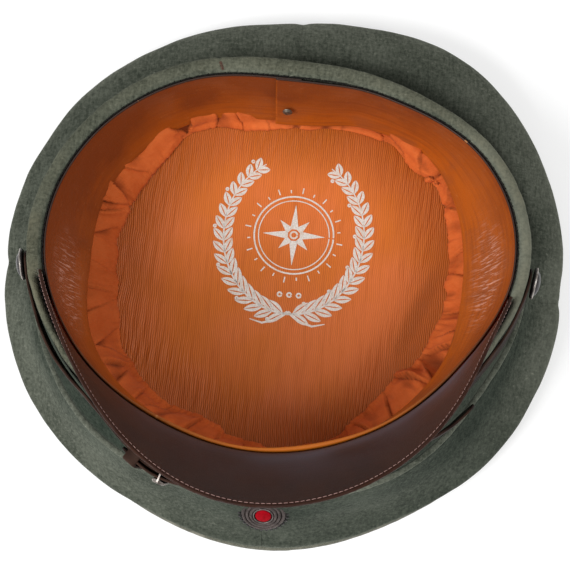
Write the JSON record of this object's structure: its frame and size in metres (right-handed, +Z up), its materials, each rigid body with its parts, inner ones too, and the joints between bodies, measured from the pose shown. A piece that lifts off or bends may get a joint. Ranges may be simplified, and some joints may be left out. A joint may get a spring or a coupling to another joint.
{
  "type": "peaked cap",
  "caption": "Round field-grey cloth peaked cap lying upside down on its crown, with leather peak, chin strap, sweatband, cotton lining and front cockade.",
  "frame": {"origin": "on the surface the cap lies on, below the middle of its box", "axes": "+Z up through the head opening, -Y towards the peak, +X to the right as seen with the peak nearest"},
  "size_m": [0.2417, 0.2326, 0.1221],
  "materials": {
    "cap_cloth": "matt brushed wool cloth, grey-green",
    "piping_cloth": "matt wool piping",
    "sweat_leather": "worn, glossy, crackled",
    "lining_cotton": "plain crumpled cotton",
    "lining_glazed": "glazed, finely ribbed",
    "peak_leather": "smooth, dark, half gloss",
    "strap_leather": "smooth, worn at the edges",
    "dark_metal": "dark, tarnished",
    "silver_metal": "worn silver",
    "cockade_metal": "dark painted, ribbed",
    "cockade_red": "red lacquer"
  },
  "bodies": {
    "root": {"crown_top": "cap_cloth", "crown_piping": "piping_cloth", "side_panel_back_right": "cap_cloth", "side_panel_back_left": "cap_cloth", "side_panel_front_left": "cap_cloth", "side_panel_front_right": "cap_cloth", "band": "cap_cloth", "band_piping": "piping_cloth", "sweatband": "sweat_leather", "sweatband_rivet": "dark_metal", "side_lining": "lining_cotton", "crown_lining": "lining_glazed", "peak": "peak_leather", "peak_binding": "peak_leather", "strap_under": "strap_leather", "strap_over": "strap_leather", "strap_keeper": "strap_leather", "strap_slide": "silver_metal", "button_left": "dark_metal", "button_right": "dark_metal", "cockade": "cockade_metal", "cockade_centre": "cockade_red"}
  },
  "joints": []
}
